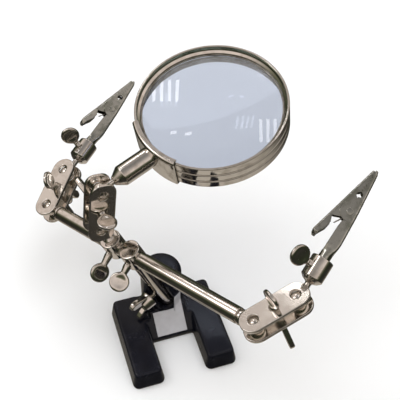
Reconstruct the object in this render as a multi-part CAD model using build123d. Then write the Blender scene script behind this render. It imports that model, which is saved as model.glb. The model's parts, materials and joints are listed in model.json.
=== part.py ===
from build123d import *
from math import cos, radians, sin, tan
import os

# Third hand for soldering: a cast base, a leaning post, a cross bar with two clip arms and a
# magnifier arm. Millimetres, +Z up, -Y towards the user, origin on the ground under the base tower.

# ---- base casting ----
LEG_W, LEG_H, LEG_X = 12.2, 9.0, 17.1          # leg width and height on top, leg centre from the middle
LEG_FRONT, LEG_BACK = -38.7, 4.5               # ends of the legs along Y, on top
DRAFT = 9.0                                    # casting draft, degrees
WEB_FRONT, WEB_EDGE = -18.3, 2.5               # front edge of the web and its thickness there
RAMP_W, RAMP_TOP = 17.0, 11.8                  # raised ramp in front of the tower
TOWER_R, TOWER_H = 9.6, 31.5
LABEL_W, LABEL_L, LABEL_T = 14.2, 11.0, 0.25   # blank label on the ramp

# ---- post and cross bar ----
POST_D, POST_LEAN = 7.0, 21.1                  # the post leans this far towards -X, degrees
POST_FOOT = Vector(2.6, -4.1, 10.0)            # where the post leaves its bore
POST_UP, POST_IN = 43.4, 8.0                   # foot to bar axis, and depth in the bore
BAR_D, BAR_WALL = 7.0, 1.0
BAR_TURN = -57.8                               # heading of the bar about the post, degrees
BAR_LEFT, BAR_RIGHT = 57.0, 69.3               # post head to the ball centre at each end
COLLAR_D, COLLAR_L = 9.8, 10.4                 # cross-drilled heads on the post and the bar
SLEEVE_AT = 12.1                               # magnifier sleeve, from the post head
STUD_L = 16.2                                  # bar axis to the centre of the sleeve's ball
SCREW_DROP = 18.0                              # thumb screws dip below square to the collar, degrees
POST_SCREW_REACH, SLEEVE_SCREW_REACH = 10.0, 11.0  # bar axis to the shoulder of each thumb screw

# ---- ball clamps ----
BALL_R, NECK_R, NECK_L = 3.5, 1.3, 6.6
PLATE_W, PLATE_T, HOLE_PITCH, HOLE_R = 11.4, 1.6, 19.25, 2.2
PLATE_IN = 2.75                                # clamp middle plane to a plate's inner face
FIT = 0.05                                     # running clearance on a radius

# ---- thumb screws and wing nuts ----
SCREW_R, SIDE_SCREW_R = 1.95, 1.5              # M4 through the clamps, M3 into the holders and base
SPADE_D, SPADE_T = 8.8, 1.9
NUT_R, NUT_H, WING_R, WING_H, WING_T = 3.6, 4.6, 8.2, 12.6, 1.7

# ---- magnifier ----
HANDLE_D, CONE_FROM, HANDLE_FROM, HANDLE_TO = 9.3, 6.2, 11.0, 25.3
LENS_REACH = 59.5                              # ball centre to lens centre
RING_R, RING_H, RING_WALL, BEAD = 33.4, 13.5, 1.2, 1.0
GLASS_EDGE, GLASS_MID, GLASS_Z = 2.4, 7.4, 1.3  # lens thickness, and its middle above the hoop's

# ---- clip arms ----
HOLDER_FROM, HOLDER_TO, HOLDER_D = 9.2, 19.2, 9.4
HOLDER_SCREW_AT = 14.5
BARREL_R, SHEET = 2.4, 0.6
BARREL_FROM, BARREL_TO = 12.5, 25.0
RIVET_AT = (40.5, 1.0)                         # along the clip, and up from its axis
RIVET_R, RIVET_HEAD_R = 0.9, 1.6
TIP_AT = 60.5
JAW_W = 5.6

# Directions of the arms as they stand: along the part, then out of its face. Each clip arm adds its
# side, the clip's length and lever directions, its holder screw's angle and that screw's grip side.
SLEEVE_CLAMP = Vector(0.141, 0.104, 0.985), Vector(0.113, -0.990, 0.083)
HANDLE = Vector(0.929, 0.313, 0.197), Vector(-0.155, -0.152, 0.976)
ARMS = {
    "left": (-1, Vector(0.598, 0.740, 0.311), Vector(-0.400, -0.069, 0.914),
             Vector(0.733, 0.638, 0.238), Vector(-0.655, 0.567, 0.500), 32.0, Vector(0.70, 0.02, 0.70)),
    "right": (1, Vector(0.954, 0.146, 0.265), Vector(-0.280, 0.065, 0.958),
              Vector(0.732, 0.505, 0.458), Vector(-0.647, 0.725, 0.235), 42.0, Vector(0.77, 0.36, 0.53)),
}
# Turn of each clamp's spade grip and wing nut about its screw, degrees from square to the plates.
SPADE_TURN = {"magnifier": 90.0, "left": 20.0, "right": 97.0}
NUT_TURN = {"magnifier": 45.0, "left": 15.0, "right": 85.0}
# Which way the other grips and wings spread.
WING_SIDE = Vector(0.27, 0.19, -0.94)
POST_SPADE_SIDE, SLEEVE_SPADE_SIDE = Vector(-0.76, 0.58, 0.29), Vector(-0.86, 0.10, 0.50)


def frame(origin, along, side):
    """A local frame with Z along the part and X as near to side as square allows."""
    z = along.normalized()
    x = side - z * side.dot(z)
    return Plane(origin=origin, x_dir=x.normalized(), z_dir=z)


def place(plane, shape):
    return plane.location * shape


def rod(r, z0, z1):
    return Pos(0, 0, z0) * Cylinder(r, z1 - z0, align=(Align.CENTER, Align.CENTER, Align.MIN))


def cone(r0, r1, z0, z1):
    return Pos(0, 0, z0) * Cone(r0, r1, z1 - z0, align=(Align.CENTER, Align.CENTER, Align.MIN))


def turned(points):
    """Solid of revolution about Z from (radius, z) points."""
    return revolve(Plane.XZ * make_face(Polyline(*points, close=True)), Axis.Z)


def side_plate(points, y0, y1):
    """Flat plate between two Y planes, outlined by (z, x) points."""
    outline = Polyline(*[(x, 0, z) for z, x in points], close=True)
    return Pos(0, y0, 0) * extrude(make_face(outline), y1 - y0, dir=(0, 1, 0))


# ---- shared fasteners ----
def spade_screw(tip, seat, neck=1.0, shank=SCREW_R):
    """Thumb screw: shank from tip to seat, a small hub, then a flat grip spread along X."""
    grip_low = seat + neck
    disc = Pos(0, 0, grip_low + 0.44 * SPADE_D) * Rot(90, 0, 0) * Cylinder(SPADE_D / 2, SPADE_T)
    disc -= Pos(0, 0, grip_low - 5) * Box(12, 6, 10)
    hub = cone(shank + 0.75, shank, seat, grip_low + 1.2)
    return rod(shank, tip, grip_low + 0.6) + hub + disc


def wings(seat, height):
    """Two wings spread along X, standing on a nut or screw hub."""
    root, tip = NUT_R - 1.4, WING_R
    outline = [(0.8, root), (1.6, NUT_R + 0.6), (height - 4.2, tip - 0.8), (height - 2.6, tip),
               (height - 0.8, tip - 0.5), (height, tip - 2.4), (height - 0.9, tip - 4.0),
               (NUT_H + 0.6, root + 0.6), (NUT_H - 0.8, root)]
    wing = side_plate([(seat + z, x) for z, x in outline], -WING_T / 2, WING_T / 2)
    return wing + Rot(0, 0, 180) * wing


def wing_nut(seat):
    hub = cone(NUT_R + 0.3, NUT_R - 0.8, seat, seat + NUT_H)
    return hub + wings(seat, WING_H) - rod(SCREW_R + FIT, seat - 1, seat + 9)


def wing_screw(tip, seat):
    hub = cone(NUT_R, NUT_R - 0.9, seat, seat + NUT_H)
    return rod(SIDE_SCREW_R, tip, seat + 1) + hub + wings(seat, WING_H - 2)


def save(name, shape):
    export_step(shape, f"parts/{name}.step")


# ---- base ----
lean = radians(POST_LEAN)
post_dir = Vector(-sin(lean), 0, cos(lean))
across = Vector(cos(lean), 0, sin(lean))
turn = radians(BAR_TURN)
bar_dir = across * cos(turn) + Vector(0, 1, 0) * sin(turn)
head_at = POST_FOOT + post_dir * POST_UP
foot = frame(POST_FOOT, post_dir, across)
head = frame(head_at, post_dir, bar_dir)
bar = frame(head_at, bar_dir, post_dir)

screw_dir = across * -cos(radians(25)) + Vector(0, -1, 0) * sin(radians(25))
wing_seat = 6.1
wing_frame = frame(POST_FOOT + post_dir * 13, screw_dir, WING_SIDE)


def base_casting():
    legs = []
    for side in (-1, 1):
        spread = LEG_H * tan(radians(DRAFT))
        length = LEG_BACK - LEG_FRONT
        outline = RectangleRounded(LEG_W + 2 * spread, length + 2 * spread, 3.2)
        leg = extrude(outline, LEG_H, taper=DRAFT)
        top = leg.faces().sort_by(Axis.Z)[-1]
        leg = fillet(top.edges(), 1.1)
        legs.append(Pos(side * LEG_X, (LEG_BACK + LEG_FRONT) / 2, 0) * leg)
    rise = LEG_H - WEB_EDGE
    web = Pos(-LEG_X, 0, 0) * extrude(
        Plane.YZ * make_face(Polyline(
            (WEB_FRONT, 0), (WEB_FRONT, WEB_EDGE), (WEB_FRONT + rise, LEG_H),
            (LEG_BACK - 0.5, LEG_H), (LEG_BACK + 0.6, 0), close=True)), 2 * LEG_X)
    ramp = Pos(-RAMP_W / 2, 0, 0) * extrude(
        Plane.YZ * make_face(Polyline(
            (WEB_FRONT + 0.2, 0), (WEB_FRONT + 0.2, WEB_EDGE + 0.2),
            (WEB_FRONT + RAMP_TOP - WEB_EDGE, RAMP_TOP), (0, RAMP_TOP), (0, 0), close=True)), RAMP_W)
    tower = fillet(rod(TOWER_R, 0, TOWER_H).edges().sort_by(Axis.Z)[-1], 3.6)
    body = legs[0] + legs[1] + web + ramp + tower
    bore_r = POST_D / 2 + FIT
    bore = rod(bore_r, -POST_IN - 0.4, 60)
    mouth = Pos(0, -20, 33.0) * Box(2 * bore_r, 40, 60)
    body -= place(foot, bore + mouth)
    spot_face = rod(NUT_R + 0.6, wing_seat - 0.1, 30)
    body -= place(wing_frame, rod(SIDE_SCREW_R + FIT, 0, 20) + spot_face)
    return body


casting = base_casting()
label_low = Vector(0, WEB_FRONT + 0.9, WEB_EDGE + 0.9)
label_frame = Plane(origin=label_low, x_dir=(1, 0, 0), z_dir=(0, -1, 1))
label = extrude(Pos(0, LABEL_L / 2) * Rectangle(LABEL_W, LABEL_L), LABEL_T)
label = place(label_frame, label) - casting

wing = place(wing_frame, wing_screw(POST_D / 2 + 0.02, wing_seat))


# ---- post, heads and bar ----
def cross_head(stud=None):
    """Short cylinder drilled across for the 7 mm bar."""
    body = rod(COLLAR_D / 2, -COLLAR_L / 2, COLLAR_L / 2)
    ends = body.edges().filter_by(GeomType.CIRCLE)
    body = chamfer(ends, 0.6)
    if stud is not None:
        body += stud
    body -= Rot(0, 90, 0) * rod(BAR_D / 2 + FIT, -20, 20)
    return body


def collar_screw(at, side):
    """Frame of a collar's thumb screw: Z outward from the bar and dipping, X along the grip."""
    square = post_dir.cross(bar_dir) * -1
    drop = radians(SCREW_DROP)
    return frame(at, square * cos(drop) - post_dir * sin(drop), side)


def tapped(body, plane):
    return body - place(plane, rod(SCREW_R + FIT, 0, 12))


post_rod = place(foot, rod(POST_D / 2, -POST_IN, POST_UP - COLLAR_L / 2 - 1.6))
post_rod = chamfer(post_rod.edges().filter_by(GeomType.CIRCLE).sort_by(Axis.Z)[0], 0.5)
socket = rod(POST_D / 2 - FIT, -COLLAR_L / 2 - 1.55, -COLLAR_L / 2 + 0.5)
post_screw_frame = collar_screw(head_at, POST_SPADE_SIDE)
post_head = tapped(place(head, cross_head(socket)), post_screw_frame)
post_screw = place(post_screw_frame, spade_screw(BAR_D / 2 + 0.02, POST_SCREW_REACH))

sleeve_at = head_at - bar_dir * SLEEVE_AT
sleeve = frame(sleeve_at, post_dir, bar_dir)
sleeve_screw_frame = collar_screw(sleeve_at, SLEEVE_SPADE_SIDE)
sleeve_body = place(sleeve, cross_head()) - place(sleeve, rod(NECK_R + FIT, BAR_D / 2, 9))
sleeve_body = tapped(sleeve_body, sleeve_screw_frame)
stud = rod(NECK_R, BAR_D / 2 + 0.1, STUD_L - 3) + Pos(0, 0, STUD_L) * Sphere(BALL_R)
stud += cone(2.9, NECK_R, COLLAR_L / 2 + 0.05, COLLAR_L / 2 + 2.2)
sleeve_stud = place(sleeve, stud)
sleeve_screw = place(sleeve_screw_frame, spade_screw(BAR_D / 2 + 0.02, SLEEVE_SCREW_REACH))

tube_from, tube_to = -BAR_LEFT + NECK_L + 1.4, BAR_RIGHT - NECK_L - 1.4
bar_tube = place(bar, rod(BAR_D / 2, tube_from, tube_to) - rod(BAR_D / 2 - BAR_WALL, tube_from - 1, tube_to + 1))


def bar_end(end, towards):
    """Turned end piece: plug in the tube, a grooved cap, a neck and the ball."""
    inner = BAR_D / 2 - BAR_WALL - FIT
    cap = NECK_L + 1.3
    part = Sphere(BALL_R) + rod(NECK_R, 2, NECK_L + 1)
    part += rod(inner, cap - 0.1, cap + 8) + rod(BAR_D / 2, NECK_L, cap)
    return place(frame(end, towards, post_dir), part)


# ---- ball clamps ----
def clamp(mid, along, face, spade_turn, nut_turn):
    """Two drilled plates over a pair of balls, their thumb screw and wing nut."""
    plane = frame(mid, face, along)
    outer = PLATE_IN + PLATE_T
    balls = [Pos(s * HOLE_PITCH / 2, 0, 0) * Sphere(BALL_R + FIT) for s in (-1, 1)]
    pieces = {}
    for name, z in (("front_plate", PLATE_IN), ("back_plate", -outer)):
        plate = Pos(0, 0, z) * extrude(SlotOverall(HOLE_PITCH + PLATE_W, PLATE_W), PLATE_T)
        flats = plate.faces().filter_by(Axis.Z)
        plate = chamfer(flats[0].edges() + flats[1].edges(), 0.4)
        plate -= [Pos(s * HOLE_PITCH / 2, 0, 0) * rod(HOLE_R, -9, 9) for s in (-1, 1)]
        plate -= balls
        plate -= rod(SCREW_R + FIT, -9, 9)
        pieces[name] = place(plane, plate)
    screw = Rot(0, 0, spade_turn) * spade_screw(-outer - NUT_H - 1.5, outer + 0.03)
    pieces["thumb_screw"] = place(plane, screw)
    nut_frame = frame(mid, face * -1, along.rotate(Axis((0, 0, 0), face), nut_turn))
    pieces["wing_nut"] = place(nut_frame, wing_nut(outer + 0.03))
    return pieces


# ---- magnifier ----
handle_ball_at = sleeve_at + post_dir * STUD_L + SLEEVE_CLAMP[0].normalized() * HOLE_PITCH
handle_frame = frame(handle_ball_at, HANDLE[0], HANDLE[1])
lens_at = handle_ball_at + HANDLE[0].normalized() * LENS_REACH
lens_frame = frame(lens_at, HANDLE[1], HANDLE[0] * -1)

handle_ball = place(handle_frame, Sphere(BALL_R) + rod(NECK_R, 2, 12))
handle = turned([(0, CONE_FROM), (NECK_R + 0.25, CONE_FROM), (HANDLE_D / 2, HANDLE_FROM),
                 (HANDLE_D / 2, HANDLE_TO), (0, HANDLE_TO)])
handle = place(handle_frame, handle - rod(NECK_R + FIT, 4, 12.2))


def lens_frame_profile():
    """Half section of the hoop: a plain upper wall, then three rolled beads."""
    low, high = -RING_H / 2, RING_H / 2
    wall = RING_R - BEAD - RING_WALL
    points = [(wall, low), (wall, high), (RING_R - BEAD, high)]
    pitch = RING_H * 0.2
    for i in range(3):
        top = low + pitch * (3 - i)
        points += [(RING_R - BEAD, top), (RING_R - 0.25, top - 0.3), (RING_R, top - pitch / 2),
                   (RING_R - 0.25, top - pitch + 0.3)]
    points += [(RING_R - BEAD, low)]
    return points


hoop = place(lens_frame, turned(lens_frame_profile()))
glass_r = RING_R - BEAD - RING_WALL - 0.15
sag = (GLASS_MID - GLASS_EDGE) / 2
sphere_r = (glass_r ** 2 + sag ** 2) / (2 * sag)
lens = rod(glass_r, -GLASS_MID, GLASS_MID)
for s in (-1, 1):
    lens &= Pos(0, 0, s * (sphere_r - GLASS_MID / 2)) * Sphere(sphere_r)
lens = place(lens_frame, Pos(0, 0, GLASS_Z) * lens)
retainer = turned([(glass_r - 1.3, GLASS_Z + GLASS_EDGE / 2 + 0.5), (glass_r, GLASS_Z + GLASS_EDGE / 2 + 0.1),
                   (glass_r, GLASS_Z + GLASS_EDGE / 2 + 1.6), (glass_r - 1.3, GLASS_Z + GLASS_EDGE / 2 + 1.6)])
retainer = place(lens_frame, retainer)


def bracket():
    """Saddle plate curved round the hoop, with a rolled lip over each rim."""
    span = 26.0
    sector = rod(RING_R + 1.3, -RING_H / 2 - 1.2, RING_H / 2 + 1.2) - rod(RING_R + 0.1, -30, 30)
    wedge = Pos(RING_R, 0, 0) * Box(30, 2 * RING_R * sin(radians(span)), 40)
    return place(lens_frame, sector & wedge)


saddle = bracket()
saddle -= place(handle_frame, rod(HANDLE_D / 2 + 0.02, 0, HANDLE_TO))
inside_wall = RING_R - BEAD - RING_WALL
bracket_screw = Pos(-3.6, 0, 0) * rod(1.9, inside_wall - 0.8, inside_wall - 0.12)
bracket_screw = place(frame(lens_at, HANDLE[0] * -1, HANDLE[1]), bracket_screw)


# ---- clip arms ----
def holder(plane, screw_turn, grip_side):
    """Ball, neck and collar in one turned piece, and the screw in its side."""
    body = turned([(0, HOLDER_FROM - 1), (NECK_R, HOLDER_FROM - 1), (3.2, HOLDER_FROM), (HOLDER_D / 2, HOLDER_FROM + 1.2),
                   (HOLDER_D / 2, HOLDER_TO), (0, HOLDER_TO)])
    body += Sphere(BALL_R) + rod(NECK_R, 2, HOLDER_FROM)
    body -= rod(BARREL_R + FIT, BARREL_FROM - 0.6, HOLDER_TO + 1)
    body = place(plane, body)
    angle = radians(screw_turn)
    out = plane.x_dir * cos(angle) + plane.y_dir * sin(angle)
    at = frame(plane.origin + plane.z_dir * HOLDER_SCREW_AT, out, grip_side)
    body -= place(at, rod(SIDE_SCREW_R + FIT, 0, 12))
    screw = spade_screw(BARREL_R + 0.02, 7.0, shank=SIDE_SCREW_R)
    return body, place(at, screw), at


def lower_jaw():
    """Rolled barrel, open channel and toothed jaw of one bent sheet."""
    barrel = rod(BARREL_R, BARREL_FROM, BARREL_TO) - rod(BARREL_R - SHEET, BARREL_FROM - 1, BARREL_TO + 1)
    z, x = RIVET_AT
    half = JAW_W / 2
    outline = [(BARREL_TO - 3, -BARREL_R), (BARREL_TO + 2, -2.9), (z, -2.3), (TIP_AT, -0.6), (TIP_AT, 0.15),
               (z + 7, 2.3), (z + 2.5, x + 3.2), (z - 2.5, x + 3.2), (z - 5.5, 0.2), (BARREL_TO + 1.5, -0.4),
               (BARREL_TO - 3, -0.4)]
    body = side_plate(outline, -half, half)
    floor = [(BARREL_TO - 4, -BARREL_R + SHEET), (BARREL_TO + 2, -2.9 + SHEET), (z, -2.3 + SHEET),
             (TIP_AT - 1.5, -0.2), (TIP_AT + 2, 0.6), (TIP_AT + 2, 9), (BARREL_TO - 4, 9)]
    body -= side_plate(floor, -half + SHEET, half - SHEET)
    body -= rod(BARREL_R - SHEET, BARREL_FROM, BARREL_TO + 1)
    body -= rod(BARREL_R - 0.01, BARREL_FROM - 1, BARREL_TO - 0.5)
    body += barrel
    return body - Pos(x, 0, z) * Rot(90, 0, 0) * Cylinder(RIVET_R + 0.01, 20)


def upper_jaw():
    """Toothed jaw, pivot cheeks and thumb lever of one bent sheet, inside the lower cheeks."""
    z, x = RIVET_AT
    half = JAW_W / 2 - SHEET - 0.12
    slope = (9.9 - 1.5) / (TIP_AT - 26.2)
    top = lambda at: 1.5 + slope * (TIP_AT - at)
    outline = [(TIP_AT - 0.4, 0.35), (TIP_AT - 0.4, 1.5), (26.2, top(26.2)), (25.6, 9.2), (26.6, 8.4),
               (31.0, 7.6), (35.0, 5.9), (z - 3.6, 2.0), (z - 2.2, x - 2.0), (z + 2.6, x - 2.0), (z + 7, 0.9)]
    body = side_plate(outline, -half, half)
    inner = [(TIP_AT - 1.6, -3), (TIP_AT - 1.6, 0.9), (z + 8, top(z + 8) - SHEET), (z - 6, top(z - 6) - SHEET),
             (z - 7.5, top(z - 7.5) - 3), (z - 9, -3)]
    body -= side_plate(inner, -half + SHEET, half - SHEET)
    lever = side_plate([(z - 8, -4), (z - 8, top(z - 8) - 0.7), (27.4, top(27.4) - 0.7), (28, 8.6), (31, 8.0), (31.6, 7.2),
                        (29.4, 7.8), (27.0, 8.5), (26.2, -4)], -half - 1, half + 1)
    body -= lever & side_plate([(26, -4), (26, 20), (z - 8, 20), (z - 8, -4)], -9, 9) - side_plate(
        [(25, 7.5), (26.2, 8.1), (31.4, 7.0), (34.5, 5.9), (34.5, 7.2), (31.6, 8.2), (27, 9.0), (25, 9.0)], -9, 9)
    return body - Pos(x, 0, z) * Rot(90, 0, 0) * Cylinder(RIVET_R + 0.08, 20)


def clip_rivet():
    z, x = RIVET_AT
    half = JAW_W / 2
    pin = rod(RIVET_R, -half - 0.05, half + 0.05) + rod(RIVET_HEAD_R, half + 0.01, half + 0.5)
    pin += rod(RIVET_HEAD_R, -half - 0.5, -half - 0.01)
    return Pos(x, 0, z) * Rot(90, 0, 0) * pin


def clip_spring():
    """Torsion spring round the rivet, with one leg along the channel floor."""
    z, x = RIVET_AT
    coil = rod(1.7, -1.3, 1.3) - rod(1.15, -2, 2)
    coil = Pos(x, 0, z) * Rot(90, 0, 0) * coil
    leg = Pos(x - 1.42, 0.9, z - 8.2) * rod(0.28, 0, 8.2)
    return coil + leg


os.makedirs("parts", exist_ok=True)
save("base_casting", casting)
save("base_label", label)
save("base_wing_screw", wing)
save("post_rod", post_rod)
save("post_head", post_head)
save("post_thumb_screw", post_screw)
save("crossbar_tube", bar_tube)
save("magnifier_sleeve", sleeve_body)
save("sleeve_ball_stud", sleeve_stud)
save("sleeve_thumb_screw", sleeve_screw)

mid = sleeve_at + post_dir * STUD_L + SLEEVE_CLAMP[0].normalized() * (HOLE_PITCH / 2)
pieces = clamp(mid, *SLEEVE_CLAMP, SPADE_TURN["magnifier"], NUT_TURN["magnifier"])
for name, shape in pieces.items():
    save(f"magnifier_clamp_{name}", shape)
save("handle_ball", handle_ball)
save("magnifier_handle", handle)
save("lens_bracket", saddle)
save("lens_hoop", hoop)
save("lens_glass", lens)
save("lens_retainer", retainer)
save("bracket_screw", bracket_screw)

for side, (sign, along, face, clip_dir, lever_dir, screw_turn, grip_side) in ARMS.items():
    end = head_at + bar_dir * (BAR_RIGHT if sign > 0 else -BAR_LEFT)
    save(f"{side}_bar_ball", bar_end(end, bar_dir * -sign))
    along = along.normalized()
    pieces = clamp(end + along * (HOLE_PITCH / 2), along, face, SPADE_TURN[side], NUT_TURN[side])
    for name, shape in pieces.items():
        save(f"{side}_clamp_{name}", shape)
    clip = frame(end + along * HOLE_PITCH, clip_dir, lever_dir)
    body, side_screw, side_frame = holder(clip, screw_turn, grip_side)
    save(f"{side}_clip_holder", body)
    save(f"{side}_holder_thumb_screw", side_screw)
    save(f"{side}_clip_lower_jaw", place(clip, lower_jaw()))
    save(f"{side}_clip_upper_jaw", place(clip, upper_jaw()))
    save(f"{side}_clip_rivet", place(clip, clip_rivet()))
    save(f"{side}_clip_spring", place(clip, clip_spring()))
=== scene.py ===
"""Looks of a third hand for soldering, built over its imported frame.

Sizes are millimetres inside the classes and metres in the meshes. Every piece is worked out in the
local frame of its own joint and then placed once, so its object stays at the origin.
"""
import json
import logging
from dataclasses import dataclass, field
from enum import Enum
from math import cos, pi, radians, sin

import bmesh
import bpy
import numpy as np
from mathutils import Matrix, Vector
from mathutils.geometry import delaunay_2d_cdt


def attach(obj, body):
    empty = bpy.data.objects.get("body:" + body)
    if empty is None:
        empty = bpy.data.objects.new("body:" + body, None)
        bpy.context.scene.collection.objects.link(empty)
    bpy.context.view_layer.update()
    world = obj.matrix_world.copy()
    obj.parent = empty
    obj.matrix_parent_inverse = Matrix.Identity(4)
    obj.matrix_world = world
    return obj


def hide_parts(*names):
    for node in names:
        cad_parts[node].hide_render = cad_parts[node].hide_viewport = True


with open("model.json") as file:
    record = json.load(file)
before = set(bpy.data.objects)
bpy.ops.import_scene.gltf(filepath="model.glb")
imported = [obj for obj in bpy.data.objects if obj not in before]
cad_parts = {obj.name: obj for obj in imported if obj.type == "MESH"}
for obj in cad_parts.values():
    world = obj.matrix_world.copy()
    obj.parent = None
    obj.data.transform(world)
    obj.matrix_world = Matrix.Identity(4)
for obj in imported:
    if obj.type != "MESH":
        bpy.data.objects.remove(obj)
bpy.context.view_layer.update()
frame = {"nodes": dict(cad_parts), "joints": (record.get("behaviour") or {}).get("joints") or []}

LOG = logging.getLogger("third_hand")
MM = 0.001
RIM_STEPS = 4           # pieces in the quarter circle of a plate's rim
RIM_BULGE = 0.3         # how far a bent sheet's rim stands out, as a share of its thickness

# ------------------------------------------------------------------ places


def unit(v) -> np.ndarray:
    """The vector at length 1."""
    v = np.asarray(v, float)
    return v / np.linalg.norm(v)


@dataclass(frozen=True)
class Seat:
    """A local frame in the object: an origin and two axes, in millimetres.

    Args:
        origin: where local zero is.
        z: the local Z direction, along the part.
        x: the local X direction, squared to z.
    """

    origin: np.ndarray
    z: np.ndarray
    x: np.ndarray

    @classmethod
    def of(cls, origin, z, side) -> "Seat":
        """A seat at origin with Z along z and X as near to side as square allows."""
        z = unit(z)
        side = np.asarray(side, float)
        return cls(np.asarray(origin, float), z, unit(side - z * side.dot(z)))

    @property
    def y(self) -> np.ndarray:
        """The third axis."""
        return np.cross(self.z, self.x)

    def put(self, points: np.ndarray) -> np.ndarray:
        """Local millimetres to the object's metres."""
        axes = np.stack([self.x, self.y, self.z])
        return (self.origin + points @ axes) * MM

    def turned(self, degrees: float) -> "Seat":
        """The same seat with X turned about Z."""
        a = radians(degrees)
        return Seat(self.origin, self.z, self.x * cos(a) + self.y * sin(a))


def joint(name: str) -> tuple[np.ndarray, np.ndarray]:
    """A joint's point in millimetres and its axis, as the frame gives them.

    Args:
        name: the joint's name.

    Returns:
        The point (zeros on a slide, which has none) and the unit axis.
    """
    found = next(j for j in frame["joints"] if j["name"] == name)
    point = np.array(found.get("pos_m", (0, 0, 0)), float) / MM
    return point, unit(found["axis"])


# ------------------------------------------------------------------ surfaces


@dataclass
class Surface:
    """Vertices in local millimetres and faces of three or four corners."""

    verts: np.ndarray
    faces: list = field(default_factory=list)

    def __add__(self, other: "Surface") -> "Surface":
        """Both surfaces in one, not welded."""
        shift = len(self.verts)
        moved = [np.asarray(f) + shift for f in other.faces]
        return Surface(np.vstack([self.verts, other.verts]), list(self.faces) + moved)

    def moved(self, x: float = 0.0, y: float = 0.0, z: float = 0.0) -> "Surface":
        """A shifted copy."""
        return Surface(self.verts + np.array([x, y, z]), self.faces)

    def mapped(self, axes) -> "Surface":
        """A copy with new axes: rows are where local X, Y and Z go."""
        return Surface(self.verts @ np.asarray(axes, float), self.faces)

    def volume(self) -> float:
        """Signed volume, by summing the cone from the origin to each face."""
        total = 0.0
        for size in (3, 4):
            quads = np.array([f for f in self.faces if len(f) == size], int)
            if len(quads) == 0:
                continue
            p = self.verts[quads]
            for k in range(1, size - 1):
                total += np.einsum("ij,ij->", p[:, 0], np.cross(p[:, k], p[:, k + 1])) / 6
        return float(total)

    def outward(self) -> "Surface":
        """The same closed surface with its faces pointing out."""
        return self if self.volume() >= 0 else Surface(self.verts, [np.asarray(f)[::-1] for f in self.faces])


def grid(points: np.ndarray, wrap_u: bool = False, wrap_v: bool = False) -> Surface:
    """Quads over a grid of points.

    Args:
        points: array of (rows, columns, 3).
        wrap_u: join the last row to the first.
        wrap_v: join the last column to the first.

    Returns:
        The surface, one quad between each four neighbours.
    """
    rows, cols = points.shape[:2]
    index = np.arange(rows * cols).reshape(rows, cols)
    if wrap_u:
        index = np.vstack([index, index[:1]])
    if wrap_v:
        index = np.hstack([index, index[:, :1]])
    a, b = index[:-1, :-1], index[:-1, 1:]
    c, d = index[1:, 1:], index[1:, :-1]
    faces = np.stack([a, b, c, d], axis=-1).reshape(-1, 4)
    return Surface(points.reshape(-1, 3), list(faces))


def rounded(points, radii, steps: int = 6, closed: bool = True) -> np.ndarray:
    """A 2-D outline with its corners turned into arcs.

    At each corner the arc is tangent to both sides: it starts and ends radius / tan(half the
    inner angle) from the corner, and is cut to just under half of the shorter side.

    Args:
        points: the corners in order.
        radii: one radius for each corner, or one for all; zero keeps the corner sharp.
        steps: pieces in each arc.
        closed: whether the last corner joins the first.

    Returns:
        The points of the rounded outline.
    """
    pts = np.asarray(points, float)
    radii = np.broadcast_to(np.asarray(radii, float), len(pts))
    out = []
    for i, (corner, radius) in enumerate(zip(pts, radii)):
        if radius <= 0 or (not closed and i in (0, len(pts) - 1)):
            out.append(corner[None])
            continue
        to_a, to_b = pts[i - 1] - corner, pts[(i + 1) % len(pts)] - corner
        len_a, len_b = np.linalg.norm(to_a), np.linalg.norm(to_b)
        a, b = to_a / len_a, to_b / len_b
        half = np.arccos(np.clip(a.dot(b), -1, 1)) / 2
        if half > pi / 2 - 1e-3:
            out.append(corner[None])
            continue
        reach = min(radius / np.tan(half), 0.49 * min(len_a, len_b))
        radius = reach * np.tan(half)
        centre = corner + unit(a + b) * radius / np.sin(half)
        start, end = corner + a * reach - centre, corner + b * reach - centre
        turn = np.arctan2(start[0] * end[1] - start[1] * end[0], start.dot(end))
        t = np.linspace(0, turn, steps + 1)[:, None]
        out.append(centre + start * np.cos(t) + np.array([-start[1], start[0]]) * np.sin(t))
    return np.vstack(out)


def circle(count: int) -> np.ndarray:
    """Angles of equal steps round a circle."""
    return np.linspace(0, 2 * pi, count, endpoint=False)


def space(x, y, z) -> np.ndarray:
    """Points from three arrays that broadcast together."""
    return np.stack(np.broadcast_arrays(x, y, z), axis=-1)


def ring(radius: float, segments: int = 48, x: float = 0.0, y: float = 0.0) -> np.ndarray:
    """A circle of points in the plane, anticlockwise."""
    t = circle(segments)
    return np.stack([x + radius * np.cos(t), y + radius * np.sin(t)], axis=1)


def ball_arc(ball: float, neck: float) -> np.ndarray:
    """Half section of a ball at zero: an arc from its lower pole up to where it meets the neck.

    The neck is met where the arc's radius, ball * sin, has come down to the neck's.
    """
    t = np.linspace(0, pi - np.arcsin(neck / ball), 40)
    return np.stack([ball * np.sin(t), -ball * np.cos(t)], axis=1)


def lathe(profile, segments: int = 96) -> Surface:
    """Solid of revolution about Z: radius and height turned through a full circle.

    Args:
        profile: (radius, z) points; an end on the axis becomes one pole, and a profile that
            stays off the axis is joined end to end into a hollow ring.
        segments: steps round the circle.

    Returns:
        The closed surface, facing outwards.
    """
    p = np.asarray(profile, float)
    keep = np.append(True, np.linalg.norm(np.diff(p, axis=0), axis=1) > 1e-6)
    p = p[keep]
    on_axis = p[:, 0] < 1e-6
    body = p[~on_axis]
    t, r = circle(segments), body[:, :1]
    turned = space(r * np.cos(t), r * np.sin(t), body[:, 1:])
    if not on_axis.any():
        return grid(turned, wrap_u=True, wrap_v=True).outward()
    return capped(grid(turned, wrap_v=True), segments, (0, 0, p[0, 1]), (0, 0, p[-1, 1]))


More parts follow.
